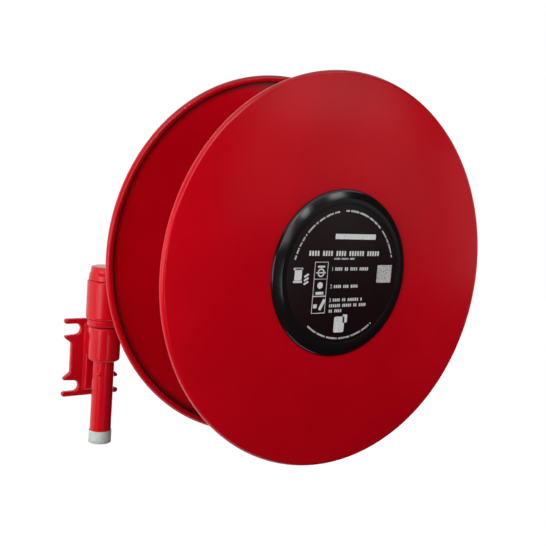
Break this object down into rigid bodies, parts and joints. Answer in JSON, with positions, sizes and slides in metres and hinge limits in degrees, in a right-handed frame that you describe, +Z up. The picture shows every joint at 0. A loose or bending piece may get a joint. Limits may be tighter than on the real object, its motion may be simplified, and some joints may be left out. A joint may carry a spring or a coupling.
{
  "type": "fire hose reel",
  "caption": "Wall-hung swinging fire hose reel: two red rolled-rim discs on a drum and wet hub, black hub cover, swivel arm, slotted bracket and inlet pipe.",
  "frame": {"origin": "centre of the wall bracket's back face, which lies on the wall", "axes": "+Z up along the inlet pipe, +Y into the wall, -Y out of it towards the reel's front, +X to the right for someone who faces the reel"},
  "size_m": [0.6137, 0.314, 0.6074],
  "materials": {
    "red_powder_coat": "gloss red powder coat on steel sheet",
    "red_cast_iron": "gloss red powder coat on cast iron",
    "red_pipe": "gloss red powder coat on steel pipe",
    "zinc_steel": "zinc plated",
    "brass": "machined",
    "cast_alloy": "as cast, machined faces",
    "acetal": "moulded",
    "rubber": "matt",
    "black_gloss_plastic": "gloss moulding",
    "printed_label": "satin printed film",
    "off_white_plastic": "translucent off-white moulding"
  },
  "bodies": {
    "wall_unit": {"wall_bracket": "red_cast_iron", "inlet_pipe": "red_pipe", "pipe_screw": "red_pipe", "thrust_washer": "acetal", "pipe_circlip": "zinc_steel"},
    "protector": {"thread_protector": "off_white_plastic"},
    "swing_arm": {"swivel_body": "red_cast_iron", "swivel_collar": "red_cast_iron", "swivel_cap": "red_cast_iron", "lower_pivot_bush": "acetal", "upper_pivot_bush": "acetal", "pivot_seal_1": "rubber", "pivot_seal_2": "rubber", "cap_seal": "rubber", "arm_lock_nut": "zinc_steel", "arm_tube": "red_pipe", "hub_elbow": "red_cast_iron", "hub_spindle": "brass", "rear_thrust_washer": "acetal", "spindle_washer": "zinc_steel", "drag_washer": "zinc_steel", "spindle_nut": "brass", "rear_hub_seal": "rubber", "front_hub_seal": "rubber"},
    "reel": {"front_disc": "red_powder_coat", "rear_disc": "red_powder_coat", "drum": "red_powder_coat", "hub_body": "cast_alloy", "rear_hub_bush": "acetal", "front_hub_bush": "acetal", "hose_tail": "brass", "hub_cover": "black_gloss_plastic", "cover_label": "printed_label", "tie_bolt_1": "zinc_steel", "tie_bolt_2": "zinc_steel", "tie_bolt_3": "zinc_steel", "tie_bolt_4": "zinc_steel", "tie_nut_1": "zinc_steel", "tie_nut_2": "zinc_steel", "tie_nut_3": "zinc_steel", "tie_nut_4": "zinc_steel"}
  },
  "joints": [
    {"name": "arm_swing", "type": "hinge", "parent": "wall_unit", "child": "swing_arm", "pos_m": [0, -0.055, 0.098], "axis": [0, 0, 1], "range_deg": [-90, 0]},
    {"name": "reel_spin", "type": "hinge", "parent": "swing_arm", "child": "reel", "pos_m": [0.2656, -0.211, 0.1795], "axis": [0, 1, 0], "continuous": true},
    {"name": "protector_pull", "type": "slide", "parent": "wall_unit", "child": "protector", "axis": [0, 0, 1], "range_m": [-0.06, 0]}
  ]
}
